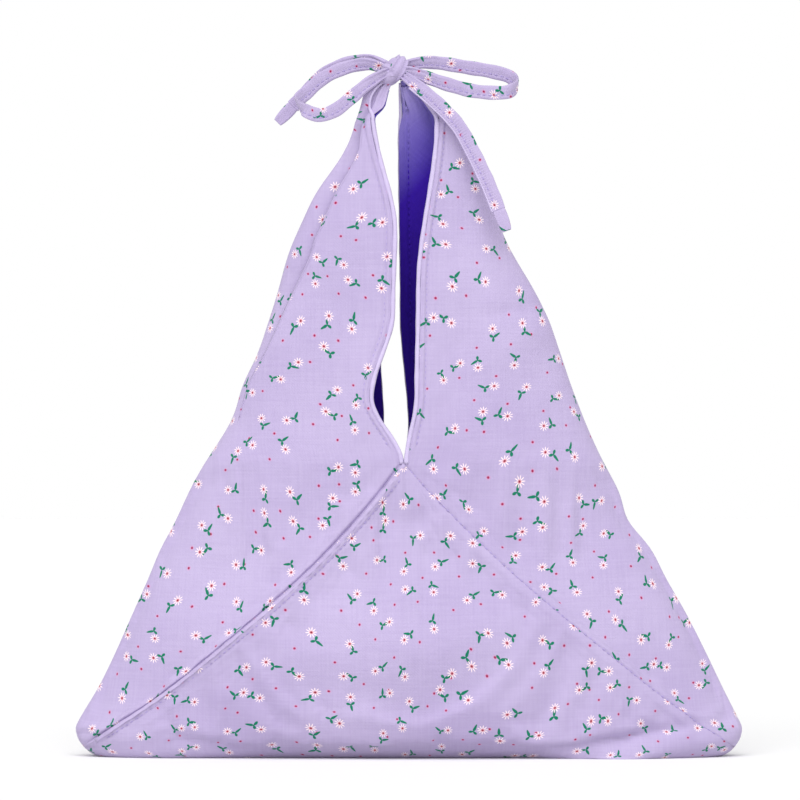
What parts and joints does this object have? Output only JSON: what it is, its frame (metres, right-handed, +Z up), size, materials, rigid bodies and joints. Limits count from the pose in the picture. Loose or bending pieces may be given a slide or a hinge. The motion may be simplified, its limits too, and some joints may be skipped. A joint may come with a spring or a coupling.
{
  "type": "bento bag",
  "caption": "Standing triangular cloth lunch bag with lined panels, a front and back slit, and ties that meet in a bow to make the carry handle.",
  "frame": {"origin": "on the floor, under the middle of the base", "axes": "+X to the right as seen from the front, +Y to the back, +Z up to the bow"},
  "size_m": [0.3296, 0.0758, 0.353],
  "materials": {
    "printed_cotton": "matt plain-weave cotton, lilac with a small tossed daisy print",
    "lining_cotton": "matt plain-weave cotton, plain lilac",
    "thread": "spun polyester sewing thread, lilac"
  },
  "bodies": {
    "bag": {"outer_base_panel": "printed_cotton", "outer_left_panel": "printed_cotton", "outer_right_panel": "printed_cotton", "lining_base_panel": "lining_cotton", "lining_left_panel": "lining_cotton", "lining_right_panel": "lining_cotton", "front_left_edge_binding": "lining_cotton", "front_right_edge_binding": "lining_cotton", "back_left_edge_binding": "lining_cotton", "back_right_edge_binding": "lining_cotton", "front_left_edge_stitching": "thread", "front_right_edge_stitching": "thread", "back_left_edge_stitching": "thread", "back_right_edge_stitching": "thread", "front_lap_edge": "printed_cotton", "back_lap_edge": "printed_cotton", "front_flat_stitching": "thread", "front_lap_stitching": "thread", "back_flat_stitching": "thread", "back_lap_stitching": "thread", "left_tie_root": "printed_cotton", "right_tie_root": "printed_cotton", "bow_knot": "printed_cotton"},
    "left_loop": {"left_loop": "printed_cotton", "left_loop_stitching": "thread"},
    "right_loop": {"right_loop": "printed_cotton", "right_loop_stitching": "thread"},
    "left_tail": {"left_tail": "printed_cotton", "left_tail_stitching": "thread", "left_tail_hem": "printed_cotton"},
    "right_tail": {"right_tail": "printed_cotton", "right_tail_stitching": "thread", "right_tail_hem": "printed_cotton"}
  },
  "joints": [
    {"name": "left_loop_flop", "type": "hinge", "parent": "bag", "child": "left_loop", "pos_m": [-0.007, 0, 0.344], "axis": [0, 1, 0], "range_deg": [-15, 35]},
    {"name": "right_loop_flop", "type": "hinge", "parent": "bag", "child": "right_loop", "pos_m": [-0.007, 0, 0.344], "axis": [0, 1, 0], "range_deg": [-35, 20]},
    {"name": "left_tail_swing", "type": "hinge", "parent": "bag", "child": "left_tail", "pos_m": [-0.007, 0, 0.344], "axis": [0, 1, 0], "range_deg": [-65, 30]},
    {"name": "right_tail_swing", "type": "hinge", "parent": "bag", "child": "right_tail", "pos_m": [-0.007, 0, 0.344], "axis": [0, 1, 0], "range_deg": [-50, 32]}
  ]
}
